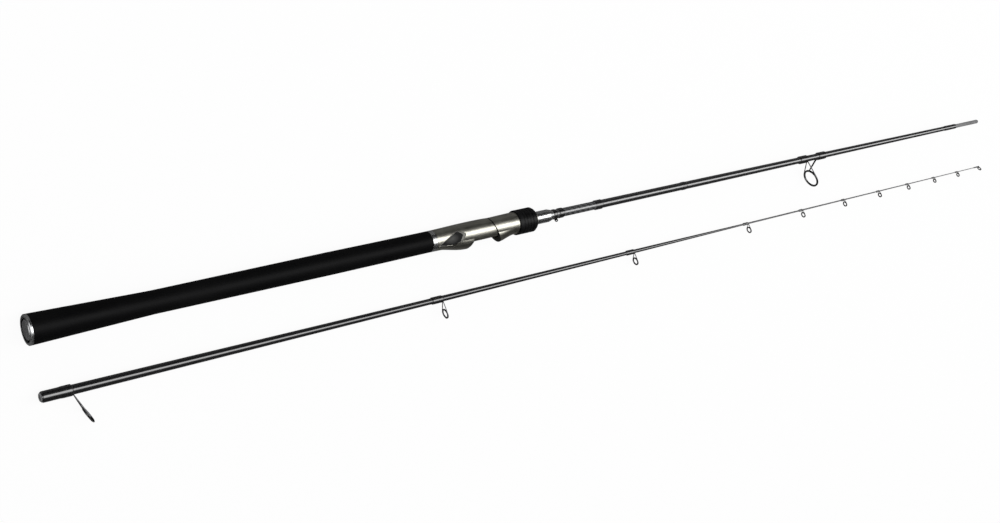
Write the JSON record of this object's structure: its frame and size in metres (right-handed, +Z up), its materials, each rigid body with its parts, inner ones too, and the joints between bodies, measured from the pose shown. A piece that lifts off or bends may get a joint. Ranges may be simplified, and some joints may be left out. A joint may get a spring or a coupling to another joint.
{
  "type": "spinning rod",
  "caption": "Two-piece spinning fishing rod shown in its two sections, with a long straight handle, a bright reel seat with a moving hood and nut, and ringed line guides.",
  "frame": {"origin": "centre of the butt's flat end face, on the axis of the butt section", "axes": "+X along the butt section toward its spigot, +Z up from the floor that both sections lie on, the guides and the reel's side of both sections toward -Y"},
  "size_m": [1.3906, 0.1232, 0.0298],
  "materials": {
    "carbon_cloth": "woven carbon fibre under clear resin, semi-gloss",
    "tip_carbon": "smooth carbon fibre under clear resin, glossy",
    "ferrule_carbon": "bare ground carbon fibre, matte grey",
    "black_winding": "black thread under epoxy, glossy",
    "handle_rubber": "smooth black rubber, matte",
    "grip_foam": "closed-cell foam, matte",
    "trim_metal": "polished bright metal",
    "seat_metal": "polished gunmetal plating, warm grey",
    "window_plate": "dark grey plate, semi-gloss",
    "arbor_plastic": "rigid foam, matte",
    "nut_plastic": "black rubberised plastic, satin",
    "guide_steel": "black plated stainless steel, semi-gloss",
    "guide_ceramic": "polished dark ceramic, glossy"
  },
  "bodies": {
    "butt_section": {"butt_blank": "carbon_cloth", "ferrule_spigot": "ferrule_carbon", "spigot_winding": "black_winding", "blank_band_rear": "black_winding", "blank_band_front": "black_winding", "butt_ring": "trim_metal", "butt_plate": "trim_metal", "butt_cap": "handle_rubber", "grip_core": "grip_foam", "grip_sleeve": "handle_rubber", "grip_ring": "trim_metal", "reel_seat_body": "seat_metal", "seat_window_inserts": "window_plate", "arbor_rear": "arbor_plastic", "arbor_front": "arbor_plastic", "front_trim_tube": "trim_metal", "hook_keeper_base": "guide_steel", "keeper_windings": "black_winding", "stripper_frame": "guide_steel", "stripper_ring": "guide_ceramic", "stripper_windings": "black_winding"},
    "movable_hood": {"movable_hood": "seat_metal"},
    "locking_nut": {"locking_nut": "nut_plastic"},
    "hook_keeper": {"hook_keeper_loop": "guide_steel"},
    "tip_section": {"tip_blank": "tip_carbon", "ferrule_liner": "ferrule_carbon", "ferrule_winding": "black_winding", "guide_frame_01": "guide_steel", "guide_ring_01": "guide_ceramic", "guide_frame_02": "guide_steel", "guide_ring_02": "guide_ceramic", "guide_winding_02": "black_winding", "guide_frame_03": "guide_steel", "guide_ring_03": "guide_ceramic", "guide_winding_03": "black_winding", "guide_frame_04": "guide_steel", "guide_ring_04": "guide_ceramic", "guide_winding_04": "black_winding", "guide_frame_05": "guide_steel", "guide_ring_05": "guide_ceramic", "guide_winding_05": "black_winding", "guide_frame_06": "guide_steel", "guide_ring_06": "guide_ceramic", "guide_winding_06": "black_winding", "guide_frame_07": "guide_steel", "guide_ring_07": "guide_ceramic", "guide_winding_07": "black_winding", "guide_frame_08": "guide_steel", "guide_ring_08": "guide_ceramic", "guide_winding_08": "black_winding", "guide_frame_09": "guide_steel", "guide_ring_09": "guide_ceramic", "guide_winding_09": "black_winding", "guide_frame_10": "guide_steel", "guide_ring_10": "guide_ceramic", "guide_winding_10": "black_winding", "tip_top_frame": "guide_steel", "tip_top_ring": "guide_ceramic", "tip_top_winding": "black_winding"}
  },
  "joints": [
    {"name": "hood_slide", "type": "slide", "parent": "butt_section", "child": "movable_hood", "axis": [1, 0, 0], "range_m": [0, 0.02]},
    {"name": "nut_turn", "type": "hinge", "parent": "movable_hood", "child": "locking_nut", "pos_m": [0.564, 0, 0], "axis": [1, 0, 0], "range_deg": [0, 3600]},
    {"name": "keeper_swing", "type": "hinge", "parent": "butt_section", "child": "hook_keeper", "pos_m": [0.611, -0.00654, 0], "axis": [0, 0, 1], "range_deg": [-80, 80]},
    {"name": "tip_carry", "type": "slide", "parent": "butt_section", "child": "tip_section", "axis": [1, 0, 0], "range_m": [0, 1.3615]}
  ],
  "couplings": [
    {"joint": "nut_turn", "follows": "hood_slide", "rad_per_m": 3141.6}
  ]
}
